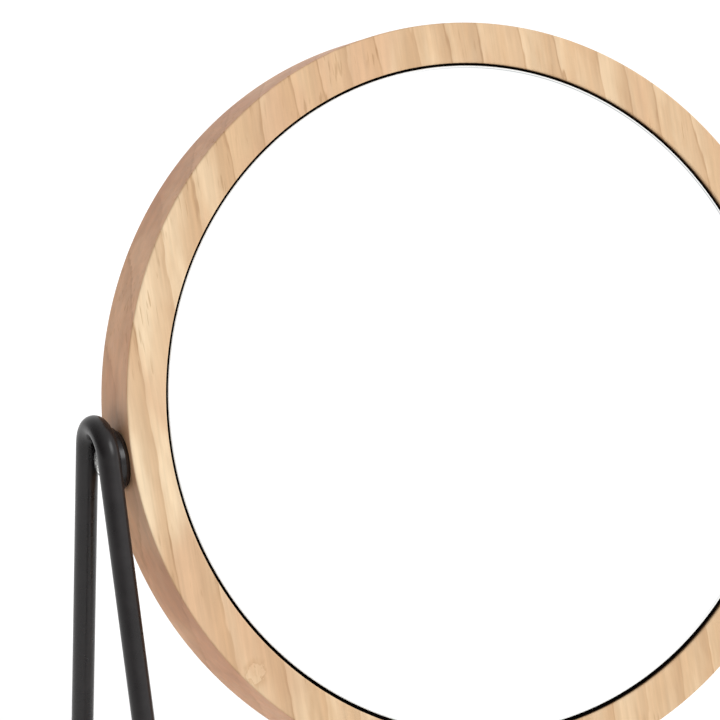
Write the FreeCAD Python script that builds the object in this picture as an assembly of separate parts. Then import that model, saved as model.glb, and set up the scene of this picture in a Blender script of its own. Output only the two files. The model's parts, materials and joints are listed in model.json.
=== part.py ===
import FreeCAD, Part
import math
import os

# Tabletop swivel mirror: a wooden ring with a flat mirror in front and a magnifying one
# behind, hung between two bent-rod side frames that two crossbars tie together.
# Lengths are millimetres, angles degrees. +X lies along the tilt axis, +Y points to the
# back and +Z up. The origin is on the table, midway between the four feet.

# Stand
ROD_D = 5.6                 # steel rod with its powder coat
SIDE_X = 100.3              # rod centre of each side frame, from the middle
PIVOT_Z = 150.0             # tilt axis above the table
BAR_Z = 4.4                 # rod centre of the crossbars above the table
LEG_SLOPE = 0.208           # each leg's run per unit of rise
LEG_HALF_GAP = 7.9          # rod centre to the tilt axis, at the height of the axis
LOOP_BEND_R = 7.4           # bend over the pivot, at the rod's centre
FOOT_BEND_R = 12.0          # bend from a leg into its crossbar, at the rod's centre
JOINT_X = 72.0              # butt joint of a crossbar with a side frame, from the middle

# Pivot hardware, M4
PLATE_D = 16.4
PLATE_T = 1.7
PLATE_SEAT = 0.1            # how far the rod is let into the plate where they are welded
SCREW_R = 2.0
SCREW_RUNNING_GAP = 0.06    # radial, screw in plate
AXIAL_GAP = 0.05            # between each moving face and the plate
SCREW_HEAD_R = 3.75
SCREW_HEAD_H = 2.8
SCREW_HEAD_ROUND = 1.0
SCREW_SLOT = (0.9, 4.4, 1.3)    # width, length and depth of each slot of the cross
SCREW_L = 10.4              # under the head
INSERT_R = 4.0
INSERT_L = 8.2
WASHER_R = 7.0
WASHER_HOLE_R = 2.3

# Feet
FOOT_R = 4.7
FOOT_L = 18.0
FOOT_SLOT = 3.4             # slit along the top, so that the sleeve clips on

# Mirror head, in its own frame: centred on the tilt axis, front face towards -Y
HEAD_TILT = 16.5            # top leans back
RING_R = 95.0
RING_DEPTH = 19.3
OPENING_R = 84.8
SHOULDER_R = 76.0
SHOULDER_T = 2.4
RIM_ROUND = 0.5
GLASS_R = 83.95
GLASS_RECESS = 0.95
FRONT_GLASS_T = 3.0
ARRIS = 0.45                # ground edge of the front glass
REAR_GLASS_T = 2.0
REAR_CURVE_R = 750.0        # concave side of the magnifying glass
LINER_SETBACK = 0.7         # edge liner below the face of the glass
TAPE_T = 1.0
TAPE_R = (76.5, 83.5)
BOARD_R = 84.4
BOARD_T = 3.0
FOAM_R = 60.0
REAR_TAPE_R = 15.0
CUSHION_R = (77.0, 83.5)

ROD_R = ROD_D / 2
FOOT_Y = LEG_HALF_GAP + LEG_SLOPE * (PIVOT_Z - BAR_Z)
APEX_Z = PIVOT_Z + LEG_HALF_GAP / LEG_SLOPE
PLATE_OUT = SIDE_X - ROD_R + PLATE_SEAT
PLATE_IN = PLATE_OUT - PLATE_T
WASHER_OUT = PLATE_IN - AXIAL_GAP
HEAD_SEAT = PLATE_OUT + AXIAL_GAP
SPOT_X = math.sqrt(RING_R ** 2 - (WASHER_R + 0.6) ** 2)     # flat on the ring under a washer

FACE = RING_DEPTH / 2
GLASS_FRONT = -FACE + GLASS_RECESS
GLASS_BACK = GLASS_FRONT + FRONT_GLASS_T
SHOULDER_FRONT = GLASS_BACK + TAPE_T
SHOULDER_BACK = SHOULDER_FRONT + SHOULDER_T
BOARD_BACK = SHOULDER_BACK + BOARD_T
REAR_EDGE = FACE - GLASS_RECESS
REAR_CENTRE = REAR_EDGE + math.sqrt(REAR_CURVE_R ** 2 - GLASS_R ** 2)    # of the curve, along the axis

X_AXIS = FreeCAD.Vector(1, 0, 0)
Y_AXIS = FreeCAD.Vector(0, 1, 0)
ORIGIN = FreeCAD.Vector(0, 0, 0)


def bent_path(corners, radii):
    """A wire of straight runs through the corners, with a tangent arc of each radius."""
    edges = []
    start = corners[0]
    for before, corner, after, radius in zip(corners, corners[1:], corners[2:], radii):
        back = (before - corner).normalize()
        ahead = (after - corner).normalize()
        half = back.getAngle(ahead) / 2
        reach = radius / math.tan(half)
        middle = (back + ahead).normalize() * (radius / math.sin(half) - radius)
        arc_start = corner + back * reach
        arc_end = corner + ahead * reach
        edges.append(Part.LineSegment(start, arc_start).toShape())
        edges.append(Part.Arc(arc_start, corner + middle, arc_end).toShape())
        start = arc_end
    edges.append(Part.LineSegment(start, corners[-1]).toShape())
    return Part.Wire(edges)


def bent_rod(corners, radii):
    """A round rod bent along the corners."""
    path = bent_path(corners, radii)
    along = (corners[1] - corners[0]).normalize()
    section = Part.Wire(Part.makeCircle(ROD_R, corners[0], along))
    return path.makePipeShell([section], True, False)


def turned(outline, axis):
    """A solid turned round an axis, from points of (radius, distance along the axis)."""
    across = Y_AXIS if axis == X_AXIS else X_AXIS
    points = [across * radius + axis * along for radius, along in outline]
    face = Part.Face(Part.makePolygon(points + points[:1]))
    return face.revolve(ORIGIN, axis, 360)


def tube(inner, outer, start, end, axis):
    """A plain ring or washer between two distances along its axis."""
    return turned([(inner, start), (outer, start), (outer, end), (inner, end)], axis)


def disc(radius, start, end, axis):
    """A plain disc between two distances along its axis."""
    return Part.makeCylinder(radius, end - start, axis * start, axis)


def rim_edges(solid, radii, axis):
    """The circular edges of a turned solid whose radius is in a list."""
    return [edge for edge in solid.Edges if edge.Curve.TypeId == "Part::GeomCircle"
            and abs(abs(edge.Curve.Axis.dot(axis)) - 1) < 1e-6
            and any(abs(edge.Curve.Radius - radius) < 1e-3 for radius in radii)]


def tilted(shape):
    """A piece of the head, moved from the head's own frame to its place on the stand."""
    placed = shape.copy()
    placed.rotate(ORIGIN, X_AXIS, -HEAD_TILT)
    placed.translate(FreeCAD.Vector(0, 0, PIVOT_Z))
    return placed


def mirrored(shape):
    """The same piece on the other side of the object, left for right."""
    return shape.mirror(ORIGIN, X_AXIS)


def on_axis(shape):
    """A piece of the stand, moved from the tilt axis at the origin up to its height."""
    return shape.translated(FreeCAD.Vector(0, 0, PIVOT_Z))


def side_frame():
    """The right-hand side frame: crossbar stub, leg, bend over the pivot, leg, stub."""
    corners = [FreeCAD.Vector(JOINT_X, -FOOT_Y, BAR_Z), FreeCAD.Vector(SIDE_X, -FOOT_Y, BAR_Z),
               FreeCAD.Vector(SIDE_X, 0, APEX_Z),
               FreeCAD.Vector(SIDE_X, FOOT_Y, BAR_Z), FreeCAD.Vector(JOINT_X, FOOT_Y, BAR_Z)]
    return bent_rod(corners, [FOOT_BEND_R, LOOP_BEND_R, FOOT_BEND_R])


def crossbar(side):
    """A straight bar between the side frames, at the front (-1) or the back (1)."""
    return Part.makeCylinder(ROD_R, 2 * JOINT_X, FreeCAD.Vector(-JOINT_X, side * FOOT_Y, BAR_Z), X_AXIS)


def pivot_plate(frame):
    """The round plate welded inside the loop of a side frame."""
    plate = tube(SCREW_R + SCREW_RUNNING_GAP, PLATE_D / 2, PLATE_IN, PLATE_OUT, X_AXIS)
    plate = plate.makeFillet(0.3, rim_edges(plate, [PLATE_D / 2], X_AXIS))
    return on_axis(plate).cut(frame)


def foot_sleeve(x_side, y_side):
    """A rubber sleeve clipped over the joint of a crossbar, slit on top, flat below."""
    start = x_side * JOINT_X - FOOT_L / 2
    sleeve = tube(ROD_R, FOOT_R, start, start + FOOT_L, X_AXIS)
    sleeve = sleeve.makeChamfer(0.5, rim_edges(sleeve, [FOOT_R], X_AXIS))
    slit = Part.makeBox(FOOT_L, FOOT_SLOT, FOOT_R, FreeCAD.Vector(start, -FOOT_SLOT / 2, 0))
    below = Part.makeBox(FOOT_L, 2 * FOOT_R, FOOT_R, FreeCAD.Vector(start, -FOOT_R, -BAR_Z - FOOT_R))
    sleeve = sleeve.cut(slit).cut(below)
    return sleeve.translated(FreeCAD.Vector(0, y_side * FOOT_Y, BAR_Z))


def frame_ring():
    """The wooden ring, with a shoulder for the board and a pocket for each insert."""
    ring = turned([(SHOULDER_R, SHOULDER_FRONT), (OPENING_R, SHOULDER_FRONT), (OPENING_R, -FACE),
                   (RING_R, -FACE), (RING_R, FACE), (OPENING_R, FACE),
                   (OPENING_R, SHOULDER_BACK), (SHOULDER_R, SHOULDER_BACK)], Y_AXIS)
    rims = [edge for edge in rim_edges(ring, [RING_R, OPENING_R], Y_AXIS)
            if abs(abs(edge.Curve.Center.y) - FACE) < 1e-3]
    ring = ring.makeFillet(RIM_ROUND, rims)
    spot = disc(WASHER_R + 0.6, SPOT_X, RING_R + 1, X_AXIS)
    pocket = disc(INSERT_R, SPOT_X - INSERT_L, SPOT_X, X_AXIS)
    for cutter in (spot, pocket):
        ring = ring.cut(cutter).cut(mirrored(cutter))
    return ring


def front_glass():
    """The flat mirror, with a ground arris round its front edge."""
    glass = disc(GLASS_R, GLASS_FRONT, GLASS_BACK, Y_AXIS)
    rim = [edge for edge in rim_edges(glass, [GLASS_R], Y_AXIS)
           if abs(edge.Curve.Center.y - GLASS_FRONT) < 1e-3]
    return glass.makeChamfer(ARRIS, rim)


def rear_glass():
    """The magnifying mirror: one even thickness, hollow towards the back."""
    centre = FreeCAD.Vector(0, REAR_CENTRE, 0)
    hollow = Part.makeSphere(REAR_CURVE_R, centre)
    backing = Part.makeSphere(REAR_CURVE_R + REAR_GLASS_T, centre)
    blank = disc(GLASS_R, BOARD_BACK, REAR_EDGE, Y_AXIS)
    return blank.common(backing).cut(hollow)


def pivot_screw():
    """The right-hand pivot screw: round head outside with a cross cut into it."""
    top = HEAD_SEAT + SCREW_HEAD_H
    tip = HEAD_SEAT - SCREW_L
    screw = turned([(0, tip), (SCREW_R - 0.4, tip), (SCREW_R, tip + 0.4), (SCREW_R, HEAD_SEAT),
                    (SCREW_HEAD_R, HEAD_SEAT), (SCREW_HEAD_R, top), (0, top)], X_AXIS)
    rim = [edge for edge in rim_edges(screw, [SCREW_HEAD_R], X_AXIS)
           if abs(edge.Curve.Center.x - top) < 1e-3]
    screw = screw.makeFillet(SCREW_HEAD_ROUND, rim)
    width, length, depth = SCREW_SLOT
    for wide, high in ((width, length), (length, width)):
        slot = Part.makeBox(depth, wide, high, FreeCAD.Vector(top - depth, -wide / 2, -high / 2))
        screw = screw.cut(slot)
    return screw


def threaded_insert():
    """The right-hand brass insert in the ring's edge, with its through bore."""
    return tube(SCREW_R, INSERT_R, SPOT_X - INSERT_L, SPOT_X, X_AXIS)


def friction_washer():
    """The right-hand washer that rubs on the pivot plate."""
    return tube(WASHER_HOLE_R, WASHER_R, SPOT_X, WASHER_OUT, X_AXIS)


def edge_liner(glass_face, glass_back):
    """The dark strip that fills the joint between a glass and the wood."""
    inward = 1 if glass_back > glass_face else -1
    start, end = sorted((glass_face + inward * LINER_SETBACK, glass_back))
    return tube(GLASS_R, OPENING_R, start, end, Y_AXIS)


def rear_back_at(radius):
    """Where the back of the magnifying glass is, at a radius from its centre."""
    return REAR_CENTRE - math.sqrt((REAR_CURVE_R + REAR_GLASS_T) ** 2 - radius ** 2)


def cushion_ring():
    """The foam ring that holds the magnifying glass off the board near its edge."""
    inner, outer = CUSHION_R
    return turned([(inner, BOARD_BACK), (outer, BOARD_BACK),
                   (outer, rear_back_at(outer)), (inner, rear_back_at(inner))], Y_AXIS)


def build():
    """Every piece of the mirror by its name."""
    right_frame = side_frame()
    left_frame = mirrored(right_frame)
    right_plate = pivot_plate(right_frame)
    pieces = {
        "right_side_frame": right_frame,
        "left_side_frame": left_frame,
        "front_crossbar": crossbar(-1),
        "rear_crossbar": crossbar(1),
        "right_pivot_plate": right_plate,
        "left_pivot_plate": mirrored(right_plate),
        "frame_ring": tilted(frame_ring()),
        "front_glass": tilted(front_glass()),
        "rear_magnifying_glass": tilted(rear_glass()),
        "front_edge_liner": tilted(edge_liner(GLASS_FRONT, GLASS_BACK)),
        "rear_edge_liner": tilted(edge_liner(REAR_EDGE, rear_back_at(GLASS_R))),
        "backing_board": tilted(disc(BOARD_R, SHOULDER_BACK, BOARD_BACK, Y_AXIS)),
        "front_tape_ring": tilted(tube(*TAPE_R, GLASS_BACK, SHOULDER_FRONT, Y_AXIS)),
        "front_foam_pad": tilted(disc(FOAM_R, GLASS_BACK, SHOULDER_BACK, Y_AXIS)),
        "rear_tape_pad": tilted(disc(REAR_TAPE_R, BOARD_BACK, rear_back_at(0), Y_AXIS)),
        "rear_cushion_ring": tilted(cushion_ring()),
    }
    for x_name, x_side in (("left", -1), ("right", 1)):
        for y_name, y_side in (("front", -1), ("rear", 1)):
            pieces[f"{y_name}_{x_name}_foot"] = foot_sleeve(x_side, y_side)
    for name, shape in (("pivot_screw", pivot_screw()), ("threaded_insert", threaded_insert()),
                        ("friction_washer", friction_washer())):
        pieces[f"right_{name}"] = tilted(shape)
        pieces[f"left_{name}"] = tilted(mirrored(shape))
    return pieces


os.makedirs("parts", exist_ok=True)
for node, piece in build().items():
    solid = piece.Solids[0] if len(piece.Solids) == 1 else piece
    solid.exportStep(os.path.join("parts", node + ".step"))
    print(node, "solids", len(piece.Solids), "valid", piece.isValid(), "volume", round(piece.Volume, 1))
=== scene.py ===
import json
import logging
import math
from dataclasses import dataclass, field
from enum import Enum
from typing import Callable, Dict, List, Optional, Sequence, Tuple, Union

import bmesh
import bpy
from mathutils import Matrix, Vector


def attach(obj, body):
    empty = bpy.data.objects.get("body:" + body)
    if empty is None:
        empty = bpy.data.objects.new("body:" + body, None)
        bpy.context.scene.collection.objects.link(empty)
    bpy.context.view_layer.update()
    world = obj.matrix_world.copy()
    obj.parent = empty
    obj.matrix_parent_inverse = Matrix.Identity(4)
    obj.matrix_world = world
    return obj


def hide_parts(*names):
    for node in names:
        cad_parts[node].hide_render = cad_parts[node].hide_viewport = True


# The looks of a tabletop swivel mirror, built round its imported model. Blender works in
# metres; the sizes below are millimetres and are turned into metres where meshes are made.

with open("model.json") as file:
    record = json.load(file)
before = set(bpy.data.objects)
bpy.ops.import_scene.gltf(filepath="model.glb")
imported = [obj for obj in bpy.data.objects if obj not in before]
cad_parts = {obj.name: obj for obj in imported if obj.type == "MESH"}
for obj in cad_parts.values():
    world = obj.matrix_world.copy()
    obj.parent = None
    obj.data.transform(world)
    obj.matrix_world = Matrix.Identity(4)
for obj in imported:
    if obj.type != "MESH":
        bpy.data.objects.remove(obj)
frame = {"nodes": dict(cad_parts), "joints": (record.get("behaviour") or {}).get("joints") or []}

LOG = logging.getLogger("swivel_mirror")
MM = 0.001
Mesh = bpy.types.Mesh
Material = bpy.types.Material
Point2 = Tuple[float, float]
Point3 = Tuple[float, float, float]
Colour = Tuple[float, float, float, float]
Value = Union[float, int, bool, Sequence[float], "Socket"]
Key = Union[str, int]
Named = Dict[str, object]
STAND = "stand"
HEAD = "mirror_head"
PIVOT = Vector(frame["joints"][0]["pos_m"])
HEAD_TILT = math.radians(16.5)
AT_ORIGIN = Matrix.Identity(4)
HEAD_PLACE = Matrix.Translation(PIVOT) @ Matrix.Rotation(-HEAD_TILT, 4, "X")


class Axis(Enum):
    """The line that a turned piece is turned about, in its own frame."""

    ACROSS = "X"
    DEPTH = "Y"


class Side(Enum):
    """A side of the object, by its sign along the tilt axis."""

    LEFT = -1
    RIGHT = 1

    def __str__(self) -> str:
        """Its name, as its pieces and nodes have it."""
        return self.name.lower()


class Holder(Enum):
    """What a shader tree belongs to: its list in the file and the node that ends it."""

    MATERIAL = ("materials", "ShaderNodeOutputMaterial")
    WORLD = ("worlds", "ShaderNodeOutputWorld")


# ---- node trees


def add_node(tree: bpy.types.NodeTree, kind: str, settings: Named,
             values: Dict[Key, object]) -> bpy.types.Node:
    """Adds one node to a tree of any kind.

    Args:
        tree: the tree.
        kind: the node's type.
        settings: what is set before its sockets.
        values: the value or link of each socket, by its name or number.

    Returns:
        The node.
    """
    made = tree.nodes.new(kind)
    for key, setting in settings.items():
        setattr(made, key, setting)
    for key, value in values.items():
        value = getattr(value, "link", value)
        if isinstance(value, bpy.types.NodeSocket):
            tree.links.new(value, made.inputs[key])
        else:
            made.inputs[key].default_value = value
    return made


def spaced(values: Named) -> Named:
    """The same values under names with a space for each _."""
    return {key.replace("_", " "): value for key, value in values.items()}


@dataclass(frozen=True)
class Socket:
    """One output of a shader tree, on which maths is written as Python expressions."""

    tree: "ShaderTree"
    link: bpy.types.NodeSocket

    def _maths(self, operation: str, first: Value, second: Value = 0.0) -> "Socket":
        """Adds one Math node and returns its result."""
        return self.tree.node("ShaderNodeMath", {"operation": operation}, {0: first, 1: second})

    def __add__(self, other: Value) -> "Socket":
        """self + other."""
        return self._maths("ADD", self, other)

    def __radd__(self, other: Value) -> "Socket":
        """other + self."""
        return self._maths("ADD", other, self)

    def __sub__(self, other: Value) -> "Socket":
        """self - other."""
        return self._maths("SUBTRACT", self, other)

    def __rsub__(self, other: Value) -> "Socket":
        """other - self."""
        return self._maths("SUBTRACT", other, self)

    def __mul__(self, other: Value) -> "Socket":
        """self * other."""
        return self._maths("MULTIPLY", self, other)

    def __rmul__(self, other: Value) -> "Socket":
        """other * self."""
        return self._maths("MULTIPLY", other, self)

    def fraction(self) -> "Socket":
        """The part after the decimal point."""
        return self._maths("FRACT", self)

    def root(self) -> "Socket":
        """The square root."""
        return self._maths("SQRT", self)


class ShaderTree:
    """The node tree of a material or the world, filled by one method for every kind of node."""

    def __init__(self, name: str, holder: Holder = Holder.MATERIAL) -> None:
        """Makes what holds the tree, and empties the tree.

        Args:
            name: the finish's name in plain words.
            holder: what kind of thing holds it.
        """
        kept_in, self.ending = holder.value
        self.owner = getattr(bpy.data, kept_in).new(name)
        self.owner.use_nodes = True
        self.tree = self.owner.node_tree
        self.tree.nodes.clear()

    def node(self, kind: str, settings: Optional[Named] = None,
             values: Optional[Dict[Key, Value]] = None, output: Key = 0) -> Socket:
        """Adds one node.

        Args:
            kind: the node's type.
            settings: what is set before its sockets.
            values: the value or link of each socket, by its name or number.
            output: the output that is returned.

        Returns:
            The chosen output, wrapped.
        """
        return Socket(self, add_node(self.tree, kind, settings or {}, values or {}).outputs[output])

    def end(self, shader: Socket) -> bpy.types.ID:
        """Joins a shader to the end of the tree, and gives what holds the tree."""
        add_node(self.tree, self.ending, {}, {"Surface": shader})
        return self.owner

    def place(self, location: Sequence[float] = (0, 0, 0), turn: Sequence[float] = (0, 0, 0)) -> Socket:
        """Object coordinates read in a frame that lies at a place and is turned."""
        own = self.node("ShaderNodeTexCoord", output="Object")
        return self.node("ShaderNodeMapping", {"vector_type": "TEXTURE"},
                         {"Vector": own, "Location": location, "Rotation": turn})

    def stretch(self, where: Socket, scale: Sequence[float]) -> Socket:
        """Coordinates scaled along each axis."""
        return self.node("ShaderNodeVectorMath", {"operation": "MULTIPLY"}, {0: where, 1: scale})

    def noise(self, where: Socket, scale: float, detail: float = 2.0, roughness: float = 0.5) -> Socket:
        """A noise between 0 and 1."""
        return self.node("ShaderNodeTexNoise", {},
                         {"Vector": where, "Scale": scale, "Detail": detail, "Roughness": roughness})

    def split(self, where: Socket) -> Tuple[Socket, Socket, Socket]:
        """The three parts of a vector."""
        made = self.node("ShaderNodeSeparateXYZ", {}, {0: where}).link.node
        return tuple(Socket(self, made.outputs[i]) for i in range(3))

    def step(self, value: Value, low: float, high: float, bottom: float = 0.0, top: float = 1.0) -> Socket:
        """A smooth rise from bottom to top as the value goes from low to high."""
        return self.node("ShaderNodeMapRange", {"interpolation_type": "SMOOTHSTEP"},
                         {"Value": value, "From Min": low, "From Max": high,
                          "To Min": bottom, "To Max": top})

    def blend(self, amount: Value, first: Value, second: Value, way: str = "MIX") -> Socket:
        """Two colours mixed."""
        return self.node("ShaderNodeMix", {"data_type": "RGBA", "blend_type": way},
                         {0: amount, 6: first, 7: second}, output=2)

    def bump(self, height: Socket, strength: float, depth: float) -> Socket:
        """A normal from a height."""
        return self.node("ShaderNodeBump", {},
                         {"Height": height, "Strength": strength, "Distance": depth})

    def surface(self, **values: Value) -> Material:
        """Ends the tree in one Principled surface; a socket's name has _ for a space."""
        return self.end(self.node("ShaderNodeBsdfPrincipled", {}, spaced(values)))


# ---- finishes


@dataclass(frozen=True)
class GrainSpot:
    """A place in the wood, in the head's own frame: the grain runs up it."""

    tree: ShaderTree
    where: Socket
    across: Socket
    depth: Socket
    along: Socket

    def noise(self, scale: Sequence[float], detail: float = 3.0, roughness: float = 0.6) -> Socket:
        """A noise with its own scale along each axis."""
        return self.tree.noise(self.tree.stretch(self.where, scale), 1.0, detail, roughness)


@dataclass(frozen=True)
class RingWood:
    """Light rubberwood under a clear matt lacquer, its grain along the head's own height."""

    cream: Colour = (0.720, 0.560, 0.372, 1)
    tan: Colour = (0.568, 0.380, 0.220, 1)
    rosy: Colour = (0.560, 0.352, 0.208, 1)
    late: Colour = (0.470, 0.285, 0.150, 1)
    vein: Colour = (0.33, 0.185, 0.085, 1)
    pore: Colour = (0.29, 0.165, 0.075, 1)
    # painted shade for the recessed wall of the opening beside the front glass
    painted_wall_shade: Colour = (0.085, 0.032, 0.010, 1)
    # painted shade: the multiply that darkens and reddens the ring's outer side
    turned_tone: Colour = (1.00, 0.76, 0.67, 1)
    ring_spacing: float = 8.7 * MM
    tree_centre: Point2 = (-0.46, 0.21)
    grain_lean: float = 0.055
    sway: float = 0.034
    ripple: float = 0.0045
    fray: float = 0.0018
    sapwood: Point2 = (-90.0 * MM, -60.0 * MM)
    knot: Point2 = (-72.5 * MM, -57.0 * MM)
    knot_reach: float = 5.0 * MM
    knot_warp: float = 9.0 * MM
    knot_pull: float = 11.0 * MM
    opening: float = 84.83 * MM
    face: float = -9.65 * MM
    outside: float = 94.9 * MM
    edge: float = 0.05 * MM

    def material(self) -> Material:
        """Builds the wood.

        Returns:
            The finished material.
        """
        tree = ShaderTree("ring_wood")
        where = tree.place(PIVOT, (-HEAD_TILT, 0, 0))
        spot = GrainSpot(tree, where, *tree.split(where))
        radius = (spot.across * spot.across + spot.along * spot.along).root()
        turned = tree.step(radius, self.outside, self.outside + self.edge)
        plain = 1.0 - turned * 0.5
        knot = self.knot_nearness(spot)
        band = self.growth(spot, knot)
        late = tree.step(band, 0.25, 0.96) * (1.0 - tree.step(band, 0.965, 1.0))
        broken = tree.step(spot.noise((60, 20, 30)), 0.36, 0.62) + knot * 0.5
        vein = tree.step(band, 0.89, 0.955) * (1.0 - tree.step(band, 0.962, 0.99)) * broken

        patches = spot.noise((105, 40, 24), 4.0, 0.62)
        cloud = spot.noise((55, 30, 15))
        mottle = spot.noise((330, 200, 75), 2.0)
        fibre = spot.noise((1150, 1150, 38), 3.0, 0.65)
        streak = spot.noise((300, 300, 17))
        dashes = spot.noise((1250, 1250, 120), 1.0, 0.4)
        clusters = spot.noise((60, 45, 30), 3.0, 0.5)
        pores = tree.step(dashes, 0.62, 0.70) * tree.step(clusters, 0.50, 0.62)

        heart = tree.step(spot.across, *self.sapwood)
        wood = tree.blend(tree.step(patches, 0.38, 0.62) * 0.5 + heart * 0.5, self.cream, self.tan)
        wood = tree.blend(tree.step(cloud, 0.45, 0.62) * 0.8, wood, self.rosy)
        wood = tree.blend(late * plain * 0.55, wood, self.late)
        wood = tree.blend(vein * plain * 0.5, wood, self.vein)
        tone = (tree.step(streak, 0.3, 0.7, 0.945, 1.045) * tree.step(fibre, 0.25, 0.75, 0.95, 1.045)
                * tree.step(mottle, 0.3, 0.7, 0.965, 1.03))
        shade = tree.node("ShaderNodeCombineXYZ", {}, {0: tone, 1: tone, 2: tone})
        wood = tree.blend(1.0, wood, shade, "MULTIPLY")
        wood = tree.blend(pores * plain * 0.42, wood, self.pore)
        # painted shade: the ring's outer side is multiplied darker and redder
        wood = tree.blend(turned, wood, self.turned_tone, "MULTIPLY")
        # painted shade: the recessed wall beside the front glass is darkened almost to black
        wood = tree.blend(self.shaded_wall(spot, radius) * 0.95, wood, self.painted_wall_shade)

        relief = fibre * 0.5 - pores * 1.2 - vein * 0.35
        rough = tree.step(fibre, 0.2, 0.8, 0.40, 0.52) + pores * 0.15
        return tree.surface(Base_Color=wood, Roughness=rough, Specular_IOR_Level=0.2,
                            Normal=tree.bump(relief, 0.22, 0.06 * MM))

    def knot_nearness(self, spot: GrainSpot) -> Socket:
        """How near each place is to the small knot.

        Args:
            spot: the place.

        Returns:
            1 at the knot's heart, 0 past its reach.
        """
        warp = (spot.noise((420, 420, 230), 3.0, 0.65) - 0.5) * self.knot_warp
        side = (spot.across - self.knot[0] + warp) * 1.3
        high = spot.along - self.knot[1] + warp * 0.5
        return 1.0 - spot.tree.step((side * side + high * high).root(), 0.0, self.knot_reach)

    def growth(self, spot: GrainSpot, knot: Socket) -> Socket:
        """How far through its growth ring each place is.

        Args:
            spot: the place.
            knot: how near it is to the knot.

        Returns:
            The fraction, from 0 to 1.
        """
        side = spot.across - self.tree_centre[0] + spot.along * self.grain_lean
        back = spot.depth - self.tree_centre[1]
        sway = spot.noise((14, 5, 4.5), 2.0, 0.5) * self.sway
        ripple = spot.noise((70, 12, 34)) * self.ripple
        fray = spot.noise((900, 900, 60), 2.0) * self.fray
        radius = (side * side + back * back).root() + sway + ripple + fray + knot * self.knot_pull
        return (radius * (1 / self.ring_spacing)).fraction()

    def shaded_wall(self, spot: GrainSpot, radius: Socket) -> Socket:
        """Where shade is painted on the wood: the wall of the opening beside the front glass.

        Args:
            spot: the place.
            radius: how far it is from the ring's middle.

        Returns:
            1 where the shade is painted.
        """
        step = spot.tree.step
        wall = 1.0 - step(radius, self.opening, self.opening + 0.02 * MM)
        low = step(spot.depth, self.face + 0.2 * MM, self.face + 1.5 * MM)
        return wall * low * (1.0 - step(spot.depth, 0.0, 1.0 * MM))


@dataclass(frozen=True)
class PowderCoat:
    """Satin black powder coat on steel, with its fine orange peel."""

    colour: Colour = (0.0075, 0.0058, 0.0062, 1)
    worn: Colour = (0.0125, 0.0100, 0.0106, 1)
    roughness: Point2 = (0.25, 0.33)
    peel_per_metre: float = 1500.0
    cloud_per_metre: float = 120.0

    def material(self) -> Material:
        """Builds the coat.

        Returns:
            The finished material.
        """
        tree = ShaderTree("black_powder_coat")
        where = tree.place()
        peel = tree.noise(where, self.peel_per_metre)
        cloud = tree.noise(where, self.cloud_per_metre, 3.0, 0.6)
        colour = tree.blend(tree.step(cloud, 0.4, 0.7), self.colour, self.worn)
        rough = tree.step(cloud, 0.3, 0.7, *self.roughness)
        return tree.surface(Base_Color=colour, Roughness=rough, Specular_IOR_Level=0.34,
                            Normal=tree.bump(peel, 0.25, 0.05 * MM))


@dataclass(frozen=True)
class Silvering:
    """Polished mirror glass seen from the front."""

    colour: Colour = (0.97, 0.975, 0.975, 1)
    haze_per_metre: float = 35.0

    def material(self) -> Material:
        """Builds the mirror.

        Returns:
            The finished material.
        """
        tree = ShaderTree("silvered_glass")
        haze = tree.noise(tree.place(), self.haze_per_metre, 3.0, 0.6)
        rough = tree.step(haze, 0.35, 0.8, 0.006, 0.016)
        return tree.surface(Base_Color=self.colour, Metallic=1.0, Roughness=rough)


@dataclass(frozen=True)
class BevelLine:
    """The polished line at the foot of the glass's arris, with a painted dark reflection towards the top
    right.
    """

    bright: Colour = (0.97, 0.97, 0.97, 1)
    painted_dark_reflection: Colour = (0.44, 0.46, 0.46, 1)
    painted_reflection_span: Point2 = (55.0 * MM, 110.0 * MM)

    def material(self) -> Material:
        """Builds the line.

        Returns:
            The finished material.
        """
        tree = ShaderTree("bevel_line")
        across, _, up = tree.split(tree.place(PIVOT))
        # painted reflection: the line darkens towards the top right, where it would mirror the dark side of
        # the room
        colour = tree.blend(tree.step(across + up, *self.painted_reflection_span), self.bright, self.painted_dark_reflection)
        haze = tree.noise(tree.place(), 60.0)
        return tree.surface(Base_Color=colour, Metallic=1.0, Roughness=tree.step(haze, 0.3, 0.7, 0.02, 0.05))


@dataclass(frozen=True)
class PlainFinish:
    """A one-colour finish with a soft cloud of a second tone and a fine surface grain."""

    name: str
    colour: Colour
    second: Colour
    roughness: Point2 = (0.5, 0.65)
    metallic: float = 0.0
    cloud_per_metre: float = 150.0
    grain_per_metre: float = 2500.0
    grain_depth: float = 0.03 * MM
    grain_stretch: Point3 = (1.0, 1.0, 1.0)
    gloss: float = 0.5

    def material(self) -> Material:
        """Builds the finish.

        Returns:
            The finished material.
        """
        tree = ShaderTree(self.name)
        where = tree.place()
        cloud = tree.noise(where, self.cloud_per_metre, 3.0, 0.6)
        grain = tree.noise(tree.stretch(where, self.grain_stretch), self.grain_per_metre, 2.0, 0.6)
        colour = tree.blend(tree.step(cloud, 0.35, 0.65), self.colour, self.second)
        rough = tree.step(grain, 0.3, 0.7, *self.roughness)
        return tree.surface(Base_Color=colour, Roughness=rough, Metallic=self.metallic,
                            Specular_IOR_Level=self.gloss,
                            Normal=tree.bump(grain, 0.4, self.grain_depth))


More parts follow.
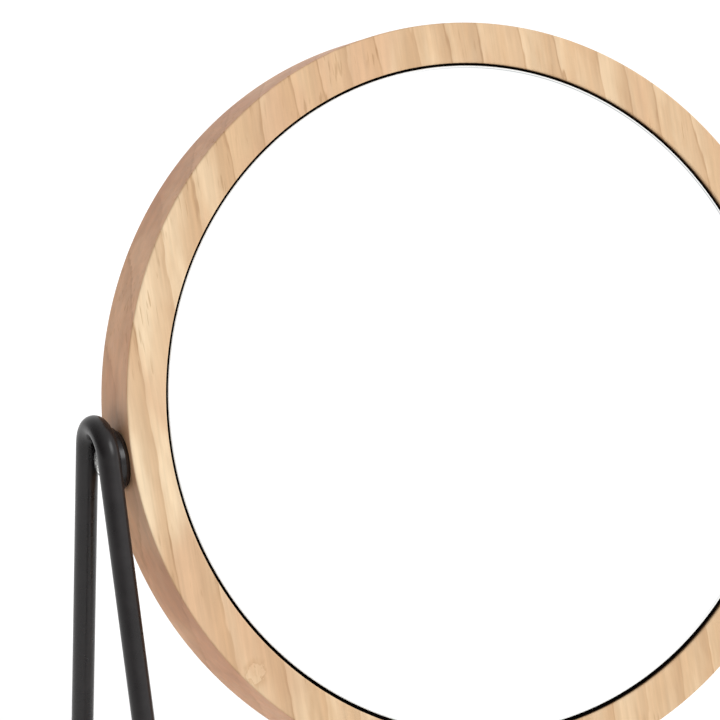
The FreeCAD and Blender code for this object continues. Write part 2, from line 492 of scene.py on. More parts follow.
GROUND_GLASS = PlainFinish("ground_glass_edge", (0.93, 0.95, 0.94, 1), (0.88, 0.90, 0.89, 1), (0.3, 0.45))
BACK_PAINT = PlainFinish("mirror_back_paint", (0.22, 0.23, 0.24, 1), (0.19, 0.20, 0.21, 1), (0.55, 0.7))
EDGE_SEAL = PlainFinish("black_edge_seal", (0.004, 0.003, 0.003, 1), (0.007, 0.006, 0.005, 1), (0.8, 0.95),
                        gloss=0.05)
LINER_FELT = PlainFinish("black_liner", (0.0015, 0.001, 0.001, 1), (0.003, 0.002, 0.002, 1), (0.9, 1.0),
                         gloss=0.02)
ZINC = PlainFinish("bright_zinc", (0.95, 0.95, 0.93, 1), (0.84, 0.85, 0.85, 1), (0.08, 0.2), 1.0,
                   400.0, 3000.0, 0.01 * MM)
BRASS = PlainFinish("turned_brass", (0.78, 0.57, 0.26, 1), (0.68, 0.47, 0.20, 1), (0.25, 0.4), 1.0,
                    300.0, 4000.0, 0.01 * MM)
RUBBER = PlainFinish("foot_rubber", (0.022, 0.022, 0.022, 1), (0.030, 0.029, 0.028, 1), (0.68, 0.82),
                     0.0, 200.0, 3500.0, 0.05 * MM)
NYLON = PlainFinish("dark_nylon", (0.034, 0.018, 0.012, 1), (0.048, 0.026, 0.016, 1), (0.5, 0.62))
HARDBOARD = PlainFinish("bare_hardboard", (0.20, 0.125, 0.07, 1), (0.27, 0.175, 0.10, 1), (0.75, 0.9),
                        0.0, 350.0, 1800.0, 0.12 * MM, (1.0, 4.0, 1.0))
FOAM = PlainFinish("white_foam", (0.80, 0.80, 0.77, 1), (0.72, 0.72, 0.69, 1), (0.8, 0.95),
                   0.0, 500.0, 2200.0, 0.15 * MM)


# ---- outlines and meshes


def put(name: str, data: bpy.types.ID) -> bpy.types.Object:
    """A new object in the scene.

    Args:
        name: its name.
        data: its data.

    Returns:
        The object.
    """
    item = bpy.data.objects.new(name, data)
    bpy.context.scene.collection.objects.link(item)
    return item


def plain(item: bpy.types.Object, tools: Sequence[bpy.types.Object] = ()) -> Mesh:
    """The mesh that an object's modifiers give.

    Args:
        item: the object, which is used up.
        tools: others that its modifiers use, which are used up too.

    Returns:
        The mesh.
    """
    graph = bpy.context.evaluated_depsgraph_get()
    mesh = bpy.data.meshes.new_from_object(item.evaluated_get(graph), depsgraph=graph)
    for used in (item, *tools):
        bpy.data.objects.remove(used)
    return mesh


def settled(shape: bmesh.types.BMesh, *finishes: Material) -> Mesh:
    """A mesh with the faces of a worked shape, which is freed.

    Args:
        shape: the shape.
        finishes: the mesh's materials.

    Returns:
        The mesh.
    """
    mesh = bpy.data.meshes.new("worked")
    shape.to_mesh(mesh)
    shape.free()
    for finish in finishes:
        mesh.materials.append(finish)
    return mesh


def crisp(mesh: Mesh, degrees: float) -> Mesh:
    """Gives a mesh smooth faces and crisp edges.

    Args:
        mesh: the mesh.
        degrees: the angle from which an edge is crisp.

    Returns:
        The same mesh.
    """
    mesh.shade_smooth()
    mesh.set_sharp_from_angle(angle=math.radians(degrees))
    return mesh


def softened(corners: Sequence[Point3], steps: int = 6, support: float = 0.12) -> List[Point2]:
    """A closed outline with its corners rounded.

    Args:
        corners: (x, y, radius) of each corner, radius 0 for one that stays sharp.
        steps: the pieces that each round is made of.
        support: how far beyond a round a point holds the flat beside it flat.

    Returns:
        The outline's points in order.
    """
    points: List[Point2] = []
    count = len(corners)
    for index, (x, y, radius) in enumerate(corners):
        corner = Vector((x, y))
        if radius == 0:
            points.append((x, y))
            continue
        before = (Vector(corners[index - 1][:2]) - corner).normalized()
        after = (Vector(corners[(index + 1) % count][:2]) - corner).normalized()
        half = before.angle(after) / 2
        reach = radius / math.tan(half)
        centre = corner + (before + after).normalized() * (radius / math.sin(half))
        first = corner + before * reach - centre
        last = corner + after * reach - centre
        sweep = first.angle_signed(last)
        points.append(tuple(corner + before * (reach + support)))
        for step in range(steps + 1):
            arm = first.copy()
            arm.rotate(Matrix.Rotation(-sweep * step / steps, 2))
            points.append(tuple(centre + arm))
        points.append(tuple(corner + after * (reach + support)))
    return points


def bent_line(corners: Sequence[Vector], radii: Sequence[float], steps: int = 32) -> List[Vector]:
    """Straight runs through the corners with a tangent arc at each, as points.

    Args:
        corners: the ends and the corners between them.
        radii: the radius of each arc.
        steps: the pieces that each arc is made of.

    Returns:
        The points of the line.
    """
    points = [corners[0]]
    for before, corner, after, radius in zip(corners, corners[1:], corners[2:], radii):
        back = (before - corner).normalized()
        ahead = (after - corner).normalized()
        half = back.angle(ahead) / 2
        centre = corner + (back + ahead).normalized() * (radius / math.sin(half))
        arm = corner + back * (radius / math.tan(half)) - centre
        normal = ahead.cross(back).normalized()
        for step in range(steps + 1):
            turn = Matrix.Rotation((math.pi - 2 * half) * step / steps, 3, normal)
            points.append(centre + turn @ arm)
    points.append(corners[-1])
    return points


class SocketKind(Enum):
    """The kinds of input that a geometry recipe has."""

    LENGTH = "NodeSocketFloat"
    COUNT = "NodeSocketInt"
    FINISH = "NodeSocketMaterial"


class Recipe:
    """A Geometry Nodes tree with named inputs, run on a curve or mesh to give a plain mesh."""

    def __init__(self, name: str, **inputs: SocketKind) -> None:
        """Starts the tree, with an input for the finish.

        Args:
            name: the recipe's name.
            inputs: its other named inputs besides the geometry, with _ for a space.
        """
        self.group = bpy.data.node_groups.new(name, "GeometryNodeTree")
        face = self.group.interface
        face.new_socket("Geometry", in_out="INPUT", socket_type="NodeSocketGeometry")
        kinds = {**spaced(inputs), "Finish": SocketKind.FINISH}
        self.identifiers = {key: face.new_socket(key, in_out="INPUT", socket_type=kind.value).identifier
                            for key, kind in kinds.items()}
        face.new_socket("Geometry", in_out="OUTPUT", socket_type="NodeSocketGeometry")
        self.entry = self.group.nodes.new("NodeGroupInput")

    def __getitem__(self, name: str) -> bpy.types.NodeSocket:
        """The named input's socket."""
        return self.entry.outputs[name]

    def add(self, kind: str, settings: Optional[Named] = None,
            **values: object) -> bpy.types.NodeSocket:
        """Adds a node and gives its first output; a socket's name has _ for a space."""
        return add_node(self.group, kind, settings or {}, spaced(values)).outputs[0]

    def end(self, geometry: bpy.types.NodeSocket) -> "Recipe":
        """Finishes the tree with smooth faces, real instances and one material.

        Args:
            geometry: what the tree has made.

        Returns:
            The recipe itself.
        """
        geometry = self.add("GeometryNodeSetShadeSmooth", Geometry=geometry, Shade_Smooth=True)
        geometry = self.add("GeometryNodeRealizeInstances", Geometry=geometry)
        geometry = self.add("GeometryNodeSetMaterial", Geometry=geometry, Material=self["Finish"])
        add_node(self.group, "NodeGroupOutput", {}, {0: geometry})
        return self

    def run(self, source: bpy.types.Object, **values: object) -> Mesh:
        """Runs the tree on an object, which is used up.

        Args:
            source: the curve or mesh that the tree works on.
            values: the value of each named input, with _ for a space.

        Returns:
            The plain mesh.
        """
        modifier = source.modifiers.new(self.group.name, "NODES")
        modifier.node_group = self.group
        for key, value in spaced(values).items():
            modifier[self.identifiers[key]] = value
        return plain(source)


def drawn(points: Sequence[Sequence[float]], closed: bool = False) -> bpy.types.Object:
    """A curve in the scene through points.

    Args:
        points: in millimetres; the curve is in metres.
        closed: whether its ends meet.

    Returns:
        The curve's object.
    """
    curve = bpy.data.curves.new("outline", "CURVE")
    curve.dimensions = "3D"
    spline = curve.splines.new("POLY")
    spline.points.add(len(points) - 1)
    for target, point in zip(spline.points, points):
        place = Vector(tuple(point) + (0.0,) * (3 - len(point))) * MM
        target.co = (*place, 1.0)
    spline.use_cyclic_u = closed
    return put("outline", curve)


class Workshop:
    """The recipes that the object's pieces are made with."""

    def __init__(self) -> None:
        """Builds each recipe once."""
        self.lathe = self._lathe()
        self.bender = self._bender()
        self.thread = self._thread()
        self.bead = self._bead()

    @staticmethod
    def _lathe() -> Recipe:
        """The lathe.

        Returns:
            An outline swept round a circle of a radius; the outline's x is added to it.
        """
        recipe = Recipe("turned_piece", Radius=SocketKind.LENGTH, Facets=SocketKind.COUNT)
        circle = recipe.add("GeometryNodeCurvePrimitiveCircle", Radius=recipe["Radius"],
                            Resolution=recipe["Facets"])
        swept = recipe.add("GeometryNodeCurveToMesh", Curve=circle, Profile_Curve=recipe["Geometry"])
        return recipe.end(recipe.add("GeometryNodeMergeByDistance", Geometry=swept, Distance=1e-6))

    @staticmethod
    def _bender() -> Recipe:
        """The rod bender.

        Returns:
            A round rod along a line.
        """
        recipe = Recipe("bent_rod", Rod_Radius=SocketKind.LENGTH, Facets=SocketKind.COUNT)
        section = recipe.add("GeometryNodeCurvePrimitiveCircle", Radius=recipe["Rod Radius"],
                             Resolution=recipe["Facets"])
        return recipe.end(recipe.add("GeometryNodeCurveToMesh", Curve=recipe["Geometry"],
                                     Profile_Curve=section, Fill_Caps=True))

    @staticmethod
    def _thread() -> Recipe:
        """The thread cutter.

        Returns:
            A ridge, drawn as a small outline, wound into a screw thread.
        """
        length = SocketKind.LENGTH
        recipe = Recipe("screw_thread", Radius=length, Length=length, Turns=length)
        spiral = recipe.add("GeometryNodeCurveSpiral", Resolution=40, Rotations=recipe["Turns"],
                            Start_Radius=recipe["Radius"], End_Radius=recipe["Radius"],
                            Height=recipe["Length"])
        spiral = recipe.add("GeometryNodeSetCurveNormal", {"mode": "Z_UP"}, Curve=spiral)
        return recipe.end(recipe.add("GeometryNodeCurveToMesh", Curve=spiral,
                                     Profile_Curve=recipe["Geometry"], Fill_Caps=True))

    @staticmethod
    def _bead() -> Recipe:
        """The welder.

        Returns:
            A bead of overlapping drops set in a row along a line.
        """
        recipe = Recipe("weld_bead", Drop_Radius=SocketKind.LENGTH, Drops=SocketKind.COUNT)
        spots = recipe.add("GeometryNodeResampleCurve", Curve=recipe["Geometry"],
                           Count=recipe["Drops"])
        drop = recipe.add("GeometryNodeMeshIcoSphere", Radius=recipe["Drop Radius"], Subdivisions=2)
        return recipe.end(recipe.add("GeometryNodeInstanceOnPoints", Points=spots, Instance=drop))

    def turned(self, outline: Sequence[Point2], axis: Axis, finish: Material,
               facets: int = 96) -> Mesh:
        """A piece turned about an axis.

        Args:
            outline: as (radius, distance along the axis), anticlockwise in that plane. It is
                closed, unless both its ends are on the axis.
            axis: the axis in the piece's own frame.
            finish: its material.
            facets: how many flats go round it.

        Returns:
            The mesh in the piece's own frame.
        """
        middle = max(radius for radius, _ in outline) / 2
        solid = outline[0][0] == 0 and outline[-1][0] == 0
        section = drawn([(radius - middle, -along) for radius, along in reversed(outline)], not solid)
        mesh = self.lathe.run(section, Radius=middle * MM, Facets=facets, Finish=finish)
        across = axis is Axis.ACROSS
        mesh.transform(Matrix.Rotation(math.pi / 2 if across else -math.pi / 2, 4, "Y" if across else "X"))
        return mesh

    def rod(self, points: Sequence[Vector], radius: float, finish: Material,
            facets: int = 48) -> Mesh:
        """A round rod along points, in millimetres."""
        return self.bender.run(drawn(points), Rod_Radius=radius * MM, Facets=facets, Finish=finish)


def fit_out(mesh: Mesh, name: str, body: str, node: str,
            place: Matrix = AT_ORIGIN) -> None:
    """Makes a finished mesh a piece of the object.

    Args:
        mesh: the mesh, in metres.
        name: the piece's name.
        body: the body that it rides on.
        node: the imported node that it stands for.
        place: where its own frame lies.
    """
    mesh.transform(place)
    if place.determinant() < 0:
        mesh.flip_normals()
    piece = put(name, mesh)
    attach(piece, body)
    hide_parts(node)
    LOG.info("%s: %d faces on %s", name, len(mesh.polygons), body)


def paint(mesh: Mesh,
          areas: Sequence[Tuple[Material, Callable[[float, float], bool]]]) -> None:
    """Gives areas of a piece turned about the depth axis their own finishes.

    Args:
        mesh: the piece in its own frame, with the finish of the rest already on it.
        areas: finishes, each with a test of a face's (radius, depth) in millimetres.
    """
    for material, _ in areas:
        mesh.materials.append(material)
    for face in mesh.polygons:
        x, y, z = face.center / MM
        for slot, (_, inside) in enumerate(areas, 1):
            if inside(math.hypot(x, z), y):
                face.material_index = slot
    crisp(mesh, 25)


def carved(mesh: Mesh, cutters: Sequence[Mesh], sharp: float) -> Mesh:
    """A mesh with others cut out of it.

    Args:
        mesh: the piece.
        cutters: what is cut away.
        sharp: the angle in degrees from which an edge is crisp.

    Returns:
        The cut mesh, with the piece's own finish.
    """
    finish = mesh.materials[0]
    body = put("body", mesh)
    tools = [put("cutter", cutter) for cutter in cutters]
    for tool in tools:
        cut = body.modifiers.new("cut", "BOOLEAN")
        cut.operation = "DIFFERENCE"
        cut.object = tool
    result = plain(body, tools)
    result.materials.clear()
    result.materials.append(finish)
    return crisp(result, sharp)


def joined(*meshes: Mesh) -> Mesh:
    """Several meshes of one finish as one.

    Args:
        meshes: the meshes.

    Returns:
        The whole, with the finish of the first.
    """
    whole = bmesh.new()
    for mesh in meshes:
        whole.from_mesh(mesh)
    return settled(whole, meshes[0].materials[0])


def mirrored_place(side: Side, place: Matrix = AT_ORIGIN) -> Matrix:
    """The place of a piece made for the right, flipped if it is for the left."""
    return place @ Matrix.Diagonal((side.value, 1, 1, 1))


# ---- the stand


@dataclass
class RodStand:
    """Two bent side frames, two crossbars, two pivot plates and four rubber feet."""

    workshop: Workshop
    rod_radius: float = 2.8
    side_x: float = 100.3
    bar_z: float = 4.4
    leg_slope: float = 0.208
    leg_half_gap: float = 7.9
    loop_bend: float = 7.4
    foot_bend: float = 12.0
    joint_x: float = 72.0
    plate_radius: float = 8.2
    plate_span: Point2 = (95.9, 97.6)
    plate_hole: float = 2.06
    bead_radius: float = 0.55
    bead_inset: float = 1.55
    bead_below: float = 3.0
    bead_drops: int = 72
    foot_radius: float = 4.7
    foot_length: float = 18.0
    foot_slot: float = 3.4
    foot_ease: float = 0.7
    foot_stations: int = 96
    foot_flats: int = 40
    foot_ribs: int = 6
    rib_depth: float = 0.35
    ribs_length: float = 13.0
    coat: Material = field(init=False)
    plate_coat: Material = field(init=False)

    def __post_init__(self) -> None:
        """Works out the places that follow from the sizes."""
        self.coat = PowderCoat().material()
        self.plate_coat = PowderCoat(roughness=(0.2, 0.28)).material()
        self.pivot_z = PIVOT.z / MM
        self.foot_y = self.leg_half_gap + self.leg_slope * (self.pivot_z - self.bar_z)
        self.apex_z = self.pivot_z + self.leg_half_gap / self.leg_slope

    def side_frame(self, side: Side) -> None:
        """One side frame: stub, leg, bend over the pivot, leg, stub, and its weld.

        Args:
            side: which side it is on.
        """
        corners = [Vector((x, y * self.foot_y, self.bar_z)) for x, y in
                   ((self.joint_x, -1), (self.side_x, -1), (self.side_x, 1), (self.joint_x, 1))]
        corners.insert(2, Vector((self.side_x, 0, self.apex_z)))
        line = bent_line(corners, [self.foot_bend, self.loop_bend, self.foot_bend])
        frame_mesh = joined(self.workshop.rod(line, self.rod_radius, self.coat), self.weld())
        fit_out(frame_mesh, f"{side}_bent_rod", STAND, f"{side}_side_frame",
                mirrored_place(side))

    def weld(self) -> Mesh:
        """The weld in the corner between the plate and the inside of the loop.

        Returns:
            Its mesh, on the right.
        """
        x = self.plate_span[1] + self.bead_radius * 0.25
        inset = self.bead_inset * math.sqrt(1 + self.leg_slope ** 2)
        half_gap = self.leg_half_gap + self.leg_slope * self.bead_below - inset
        start = self.pivot_z - self.bead_below
        corners = [Vector((x, -half_gap, start)), Vector((x, 0, self.apex_z - inset / self.leg_slope)),
                   Vector((x, half_gap, start))]
        line = bent_line(corners, [self.loop_bend - self.bead_inset])
        return self.workshop.bead.run(drawn(line), Drop_Radius=self.bead_radius * MM,
                                      Drops=self.bead_drops, Finish=self.coat)

    def crossbar(self, name: str, toward: int) -> None:
        """One straight crossbar.

        Args:
            name: "front" or "rear".
            toward: -1 for the front, +1 for the rear.
        """
        line = [Vector((x, toward * self.foot_y, self.bar_z)) for x in (-self.joint_x, 0, self.joint_x)]
        mesh = self.workshop.rod(line, self.rod_radius, self.coat)
        fit_out(mesh, f"{name}_bar", STAND, f"{name}_crossbar")

    def pivot_plate(self, side: Side) -> None:
        """One round plate with eased rims and a clean hole.

        Args:
            side: which side it is on.
        """
        inner, outer = self.plate_span
        corners = [(self.plate_hole, inner, 0.12), (self.plate_radius, inner, 0.3),
                   (self.plate_radius, outer, 0.3), (self.plate_hole, outer, 0.12)]
        mesh = self.workshop.turned(softened(corners), Axis.ACROSS, self.plate_coat)
        fit_out(mesh, f"{side}_plate", STAND, f"{side}_pivot_plate",
                mirrored_place(side, Matrix.Translation(PIVOT)))

    def foot_section(self, outer: float, slot: float) -> List[Vector]:
        """The C-shaped section of a foot: outside, slit lip, inside, slit lip.

        Args:
            outer: its outside radius.
            slot: the half width of its slit.

        Returns:
            Points in the plane across the bar, closed.
        """
        points = []
        for radius, floor, way in ((outer, -self.bar_z, 1), (self.rod_radius, -self.rod_radius, -1)):
            lip = math.asin(slot / radius)
            for step in range(self.foot_flats + 1):
                angle = way * (lip + (2 * math.pi - 2 * lip) * step / self.foot_flats)
                points.append(Vector((0, math.sin(angle) * radius, max(math.cos(angle) * radius, floor))))
        return points

    def foot_radius_at(self, x: float) -> float:
        """The outside of a foot at a distance from its middle.

        Args:
            x: the distance.

        Returns:
            The radius, less at the eased ends and in the moulded grooves.
        """
        from_end = self.foot_length / 2 - abs(x)
        slack = 1 - min(1.0, from_end / self.foot_ease)
        rounding = self.foot_ease * (1 - math.sqrt(max(0.0, 1 - slack ** 2)))
        wave = max(0.0, math.cos(2 * math.pi * self.foot_ribs * x / self.ribs_length))
        groove = self.rib_depth * wave ** 4 if from_end > 2.2 else 0.0
        return self.foot_radius - rounding - groove

    def foot_mesh(self, rubber: Material) -> Mesh:
        """A clip-on sleeve.

        Args:
            rubber: its material.

        Returns:
            Its mesh, centred on its bore.
        """
        mesh = bmesh.new()
        rows = []
        for station in range(self.foot_stations + 1):
            x = self.foot_length * (station / self.foot_stations - 0.5)
            section = self.foot_section(self.foot_radius_at(x), self.foot_slot / 2)
            rows.append([mesh.verts.new((point + Vector((x, 0, 0))) * MM) for point in section])
        for row, following in zip(rows, rows[1:]):
            for index in range(len(row)):
                mesh.faces.new((row[index - 1], following[index - 1], following[index], row[index]))
        mesh.faces.new(rows[0])
        mesh.faces.new(rows[-1][::-1])
        bmesh.ops.triangulate(mesh, faces=[face for face in mesh.faces if len(face.verts) > 4])
        bmesh.ops.recalc_face_normals(mesh, faces=mesh.faces)
        return crisp(settled(mesh, rubber), 35)

    def build(self) -> None:
        """Builds the whole stand."""
        rubber = RUBBER.material()
        for side in Side:
            self.side_frame(side)
            self.pivot_plate(side)
            for end, toward in (("front", -1), ("rear", 1)):
                place = Vector((side.value * self.joint_x, toward * self.foot_y, self.bar_z)) * MM
                fit_out(self.foot_mesh(rubber), f"{end}_{side}_sleeve", STAND,
                        f"{end}_{side}_foot", Matrix.Translation(place))
        self.crossbar("front", -1)
        self.crossbar("rear", 1)


# ---- the head


@dataclass
class MirrorHead:
    """The wooden ring and the two glasses in it, in a frame centred on the tilt axis."""

    workshop: Workshop
    ring_radius: float = 94.98
    face: float = 9.65
    opening: float = 84.8
    shoulder: float = 76.0
    shoulder_span: Point2 = (-4.7, -2.3)
    rim_round: float = 0.45
    glass_radius: float = 83.95
    recess: float = 0.95
    glass_thickness: float = 3.0
    glass_lift: float = 0.2
    arris: float = 0.18
    seam: Point2 = (83.35, 83.55)
    seam_depth: float = 0.12
    rear_thickness: float = 2.0
    rear_curve: float = 750.0
    liner_setback: float = 0.7
    washer_flat: Point2 = (7.6, 94.695)
    insert_pocket: Point2 = (4.0, 8.2)
    facets: int = 360

    def ring(self) -> None:
        """The wooden ring with eased rims."""
        front, back = self.shoulder_span
        soft = self.rim_round
        corners = [(self.shoulder, front, 0), (self.opening, front, 0), (self.opening, -self.face, soft),
                   (self.ring_radius, -self.face, soft), (self.ring_radius, self.face, soft),
                   (self.opening, self.face, soft), (self.opening, back, 0), (self.shoulder, back, 0)]
        wood = RingWood().material()
        mesh = self.workshop.turned(softened(corners, 8), Axis.DEPTH, wood, self.facets)
        flat, pocket = self.washer_flat, self.insert_pocket
        deep = flat[1] - pocket[1]
        outline = [(0, deep), (pocket[0], deep), (pocket[0], flat[1]), (flat[0], flat[1]),
                   (flat[0], self.ring_radius + 1), (0, self.ring_radius + 1)]
        cutters = [self.workshop.turned(outline, Axis.ACROSS, wood, 72) for _ in Side]
        cutters[0].transform(Matrix.Rotation(math.pi, 4, "Z"))
        mesh = carved(mesh, cutters, 35)
        fit_out(mesh, "wooden_ring", HEAD, "frame_ring", HEAD_PLACE)

    def lifted(self) -> Matrix:
        """The place of a glass, which sits a little high in its opening."""
        return HEAD_PLACE @ Matrix.Translation((0, 0, self.glass_lift * MM))

    def front_glass(self) -> None:
        """The flat mirror: silvered face, ground arris with its line, painted back."""
        start = -self.face + self.recess
        end = start + self.glass_thickness
        radius = self.glass_radius
        flat = radius - self.arris
        inside, outside = self.seam
        polished = start + self.seam_depth
        outline = [(0, end), (flat, end), (radius, end), (radius, start + self.arris), (flat, start),
                   (outside, start), (inside, polished), (0, polished)]
        mesh = self.workshop.turned(outline[::-1], Axis.DEPTH, Silvering().material(), self.facets)
        paint(mesh, [(BevelLine().material(), lambda r, y: inside < r < outside and y < polished),
                     (GROUND_GLASS.material(), lambda r, y: r > flat),
                     (EDGE_SEAL.material(), lambda r, y: r > flat and y > start + self.arris),
                     (BACK_PAINT.material(), lambda r, y: y > end - 0.01)])
        fit_out(mesh, "flat_mirror", HEAD, "front_glass", self.lifted())

    def rear_y(self, radius: float, thickness: float = 0.0) -> float:
        """How far back the magnifying glass is.

        Args:
            radius: the distance from its middle.
            thickness: how far below its face.

        Returns:
            The distance from the ring's middle.
        """
        edge = self.face - self.recess
        centre = edge + math.sqrt(self.rear_curve ** 2 - self.glass_radius ** 2)
        return centre - math.sqrt((self.rear_curve + thickness) ** 2 - radius ** 2)

    def rear_glass(self) -> None:
        """The hollow magnifying mirror on the back."""
        rim = self.glass_radius - self.arris
        steps = [rim * step / 48 for step in range(49)]
        outline = [(r, self.rear_y(r, self.rear_thickness)) for r in steps + [self.glass_radius]]
        outline.append((self.glass_radius, self.rear_y(self.glass_radius) - self.arris))
        outline += [(r, self.rear_y(r)) for r in reversed(steps)]
        mesh = self.workshop.turned(outline, Axis.DEPTH, Silvering().material(), self.facets)
        paint(mesh, [(BACK_PAINT.material(), lambda r, y: y < self.rear_y(r, self.rear_thickness / 2)),
                     (GROUND_GLASS.material(), lambda r, y: r > rim),
                     (EDGE_SEAL.material(), lambda r, y: r > self.glass_radius - 0.01)])
        fit_out(mesh, "magnifying_mirror", HEAD, "rear_magnifying_glass", self.lifted())

    def liner(self, name: str, glass_face: float, glass_back: float) -> None:
        """The dark strip between a glass and the wood.

        Args:
            name: "front" or "rear".
            glass_face: where the glass's face is.
            glass_back: where its back is.
        """
        start, end = sorted((glass_face + math.copysign(self.liner_setback, glass_back - glass_face),
                             glass_back))
        inner = self.glass_radius + self.glass_lift
        outline = [(inner, start), (self.opening, start), (self.opening, end), (inner, end)]
        mesh = self.workshop.turned(outline, Axis.DEPTH, LINER_FELT.material(), self.facets)
        fit_out(crisp(mesh, 35), f"{name}_liner", HEAD, f"{name}_edge_liner", HEAD_PLACE)

    def build(self) -> None:
        """Builds the ring, the glasses and their liners, and finishes what is inside."""
        self.ring()
        self.front_glass()
        self.rear_glass()
        front = -self.face + self.recess
        self.liner("front", front, front + self.glass_thickness)
        self.liner("rear", self.face - self.recess, self.rear_y(self.glass_radius, self.rear_thickness))
        finish_node("backing_board", HARDBOARD.material())
        foam = FOAM.material()
        for node in ("front_tape_ring", "front_foam_pad", "rear_tape_pad", "rear_cushion_ring"):
            finish_node(node, foam)


def finish_node(node: str, material: Material) -> None:
    """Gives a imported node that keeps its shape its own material.

    Args:
        node: the node's name.
        material: its material.
    """
    mesh = frame["nodes"][node].data
    mesh.materials.clear()
    mesh.materials.append(material)
    LOG.info("%s: %s", node, material.name)


# ---- the pivots


@dataclass
class Pivots:
    """The screws, inserts and washers that the head turns with."""

    workshop: Workshop
    shank: float = 2.0
    head_radius: float = 3.75
    head_seat: float = 97.65
    head_height: float = 2.8
    head_round: float = 1.1
    screw_length: float = 10.4
    thread_depth: float = 0.24
    thread_pitch: float = 0.7
    slot_width: float = 0.9
    slot_length: float = 4.4
    slot_depth: float = 1.3
    slot_taper: Tuple[Point3, Point3] = ((0.0, 0.75, 0.5), (1.6, 1.05, 1.05))
    crown: float = 0.12
    washer: Point2 = (2.3, 7.0)
    washer_span: Point2 = (94.695, 95.85)

    def slot(self, turn: float) -> Mesh:
        """One tapered slot of the cross in a screw's head.

        Args:
            turn: its angle about the screw's axis.

        Returns:
            What is cut away for it.
        """
        mesh = bmesh.new()
        bottom = self.head_seat + self.head_height - self.slot_depth
        ring = []
        for rise, wide, long in self.slot_taper:
            for y, z in ((-1, -1), (1, -1), (1, 1), (-1, 1)):
                arm = Vector((bottom + rise, y * self.slot_width / 2 * wide, z * self.slot_length / 2 * long))
                arm.rotate(Matrix.Rotation(turn, 3, "X"))
                ring.append(mesh.verts.new(arm * MM))
        mesh.faces.new(ring[3::-1])
        mesh.faces.new(ring[4:])
        for index in range(4):
            ahead = (index + 1) % 4
            mesh.faces.new((ring[index], ring[ahead], ring[ahead + 4], ring[index + 4]))
        bmesh.ops.recalc_face_normals(mesh, faces=mesh.faces)
        return settled(mesh)

    def head(self, zinc: Material) -> Mesh:
        """A round screw head with the cross cut into it.

        Args:
            zinc: its material.

        Returns:
            Its mesh, on the right.
        """
        seat, top = self.head_seat, self.head_seat + self.head_height
        corners = [(0, seat - 0.4, 0), (self.shank, seat - 0.4, 0), (self.shank, seat, 0),
                   (self.head_radius, seat, 0.15), (self.head_radius, top, self.head_round),
                   (0, top + self.crown, 0)]
        mesh = self.workshop.turned(softened(corners, 8, 0.05), Axis.ACROSS, zinc, 64)
        return carved(mesh, [self.slot(0.0), self.slot(math.pi / 2)], 38)

    def screw(self, side: Side, zinc: Material) -> None:
        """One pivot screw: head, core and thread.

        Args:
            side: which side it is on.
            zinc: its material.
        """
        seat, tip = self.head_seat, self.head_seat - self.screw_length
        core = self.shank - self.thread_depth
        outline = softened([(0, tip, 0), (core, tip, 0.3), (core, seat - 0.3, 0), (0, seat - 0.3, 0)])
        core_mesh = self.workshop.turned(outline, Axis.ACROSS, zinc, 48)
        length = self.screw_length - 1.2
        ridge = drawn([(-0.05, -0.26), (self.thread_depth, 0.0), (-0.05, 0.26)], True)
        thread = self.workshop.thread.run(ridge, Radius=core * MM, Length=length * MM,
                                          Turns=length / self.thread_pitch, Finish=zinc)
        thread.transform(Matrix.Translation(((tip + 0.5) * MM, 0, 0)) @ Matrix.Rotation(math.pi / 2, 4, "Y"))
        fit_out(joined(self.head(zinc), core_mesh, thread), f"{side}_screw", HEAD,
                f"{side}_pivot_screw", mirrored_place(side, HEAD_PLACE))

    def friction_washer(self, side: Side, nylon: Material) -> None:
        """One washer between the ring and the plate.

        Args:
            side: which side it is on.
            nylon: its material.
        """
        hole, rim = self.washer
        start, end = self.washer_span
        outline = softened([(hole, start, 0), (rim, start, 0), (rim, end, 0.2), (hole, end, 0.1)])
        mesh = self.workshop.turned(outline, Axis.ACROSS, nylon)
        fit_out(mesh, f"{side}_washer", HEAD, f"{side}_friction_washer",
                mirrored_place(side, HEAD_PLACE))

    def build(self) -> None:
        """Builds both pivots."""
        zinc, nylon, brass = ZINC.material(), NYLON.material(), BRASS.material()
        for side in Side:
            self.screw(side, zinc)
            self.friction_washer(side, nylon)
            finish_node(f"{side}_threaded_insert", brass)


# ---- the studio


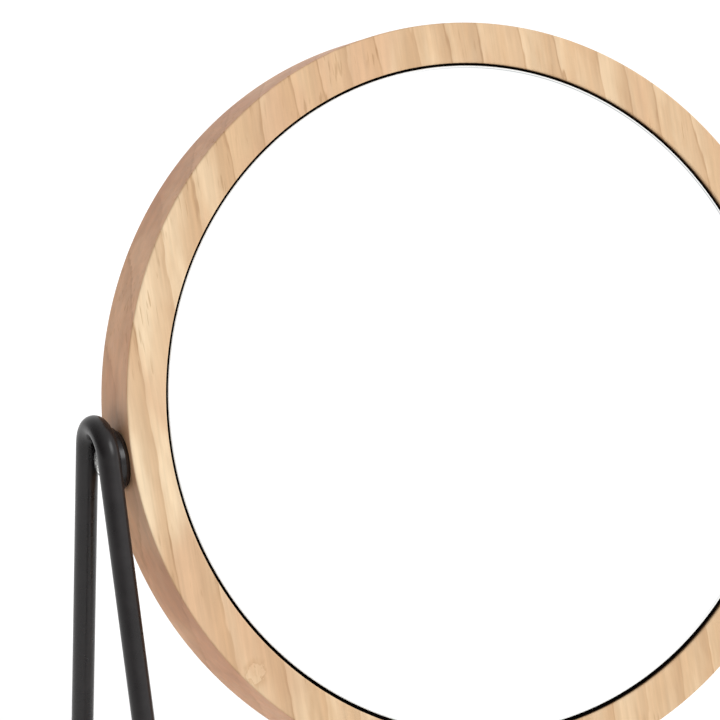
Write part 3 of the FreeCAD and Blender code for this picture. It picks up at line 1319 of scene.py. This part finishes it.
@dataclass
class Studio:
    """A pale floor, soft light and the camera."""

    azimuth: float = math.radians(23.92)
    elevation: float = math.radians(15.77)
    roll: float = math.radians(2.46)
    pivot_in_view: Point3 = (27.341, 10.146, 1056.495)
    lens: float = 208.4
    floor_half: float = 6.0
    floor_glow: float = 0.2
    papers: Tuple[Colour, Colour] = ((0.93, 0.93, 0.93, 1), (0.95, 0.95, 0.95, 1))
    key_place: Point3 = (1.5, -2.5, 2.07)
    key_size: float = 1.67
    key_power: float = 50.0

    def camera(self) -> None:
        """The camera: left of the front and a little above, with a long lens."""
        forward = Vector((math.sin(self.azimuth) * math.cos(self.elevation),
                          math.cos(self.azimuth) * math.cos(self.elevation),
                          -math.sin(self.elevation)))
        level = Vector((math.cos(self.azimuth), -math.sin(self.azimuth), 0))
        down = forward.cross(level)
        right = level * math.cos(self.roll) + down * math.sin(self.roll)
        down = down * math.cos(self.roll) - level * math.sin(self.roll)
        across, below, ahead = (value * MM for value in self.pivot_in_view)
        place = PIVOT - right * across - down * below - forward * ahead
        data = bpy.data.cameras.new("camera")
        data.lens = self.lens
        data.sensor_width = 36.0
        data.clip_start = 0.05
        data.clip_end = 100.0
        camera = put("camera", data)
        turn = Matrix((right, -down, -forward)).transposed()
        camera.matrix_world = Matrix.Translation(place) @ turn.to_4x4()
        bpy.context.scene.camera = camera

    def floor(self) -> None:
        """A pale sheet under the object."""
        mesh = bmesh.new()
        bmesh.ops.create_grid(mesh, x_segments=8, y_segments=8, size=self.floor_half)
        tree = ShaderTree("floor_paper")
        cloud = tree.noise(tree.place(), 3.0)
        colour = tree.blend(tree.step(cloud, 0.3, 0.7), *self.papers)
        paper = tree.surface(Base_Color=colour, Roughness=0.8, Specular_IOR_Level=0.1,
                             Emission_Color=colour, Emission_Strength=self.floor_glow)
        put("floor", settled(mesh, paper))

    def light(self) -> None:
        """A square soft light, high on the right of the front."""
        data = bpy.data.lights.new("key", "AREA")
        data.shape = "SQUARE"
        data.size = self.key_size
        data.energy = self.key_power
        lamp = put("key", data)
        lamp.location = self.key_place
        lamp.rotation_euler = (PIVOT - lamp.location).to_track_quat("-Z", "Y").to_euler()

    def world(self) -> None:
        """A white room that is darker on the left."""
        tree = ShaderTree("white_room", Holder.WORLD)
        across = tree.split(tree.node("ShaderNodeTexCoord", output="Generated"))[0]
        strength = tree.node("ShaderNodeMapRange", {}, {
            "Value": across, "From Min": -0.95, "From Max": 0.0, "To Min": 0.2, "To Max": 1.05})
        shader = tree.node("ShaderNodeBackground", {}, {"Color": (1, 1, 1, 1), "Strength": strength})
        bpy.context.scene.world = tree.end(shader)

    def build(self) -> None:
        """Sets up the whole studio."""
        self.floor()
        self.world()
        self.light()
        self.camera()
        bpy.context.scene.view_settings.view_transform = "Standard"


def main() -> None:
    """Builds the object's looks in order and reports each piece."""
    logging.basicConfig(level=logging.INFO, format="%(name)s: %(message)s")
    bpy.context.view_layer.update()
    workshop = Workshop()
    builders: List[Callable[[], None]] = [
        RodStand(workshop).build, MirrorHead(workshop).build, Pivots(workshop).build, Studio().build]
    for build in builders:
        build()


if __name__ == "__main__":
    main()
